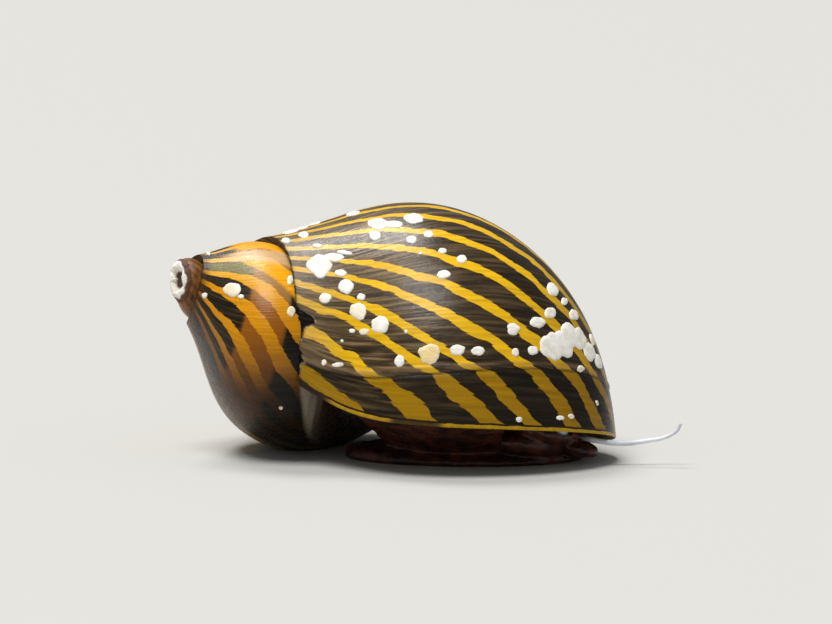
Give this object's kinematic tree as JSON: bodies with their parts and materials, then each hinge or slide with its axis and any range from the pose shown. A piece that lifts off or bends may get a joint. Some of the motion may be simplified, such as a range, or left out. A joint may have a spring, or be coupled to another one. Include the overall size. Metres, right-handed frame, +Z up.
{
  "type": "nerite snail",
  "caption": "Striped freshwater nerite snail with a tall worn shell, resting on its foot, one tentacle reaching forward.",
  "frame": {"origin": "centre of the flat sole of the foot, on the floor", "axes": "+X points the way the head faces, along the shell's length; +Z is up"},
  "size_m": [0.0268, 0.0189, 0.0131],
  "materials": {
    "shell_stripes": "satin, striped in golden yellow and blackish brown",
    "shell_spire": "satin, amber with dark brown bands",
    "shell_chalk": "chalky worn shell",
    "shell_callus": "smooth grey-beige shell",
    "operculum": "satin brown",
    "flesh_dark": "moist dark reddish-brown skin",
    "feeler": "moist pale translucent skin",
    "eye": "glossy black"
  },
  "bodies": {
    "root": {"shell_last_whorl": "shell_stripes", "shell_spire": "shell_spire", "shell_apex": "shell_chalk", "shell_callus": "shell_callus", "operculum": "operculum", "foot": "flesh_dark", "head": "flesh_dark", "snout": "flesh_dark", "tentacle_right_base": "feeler", "tentacle_right_middle": "feeler", "tentacle_right_tip": "feeler", "tentacle_left_base": "feeler", "tentacle_left_tip": "feeler", "eye_stalk_right": "feeler", "eye_stalk_left": "feeler", "eye_right": "eye", "eye_left": "eye"}
  },
  "joints": []
}
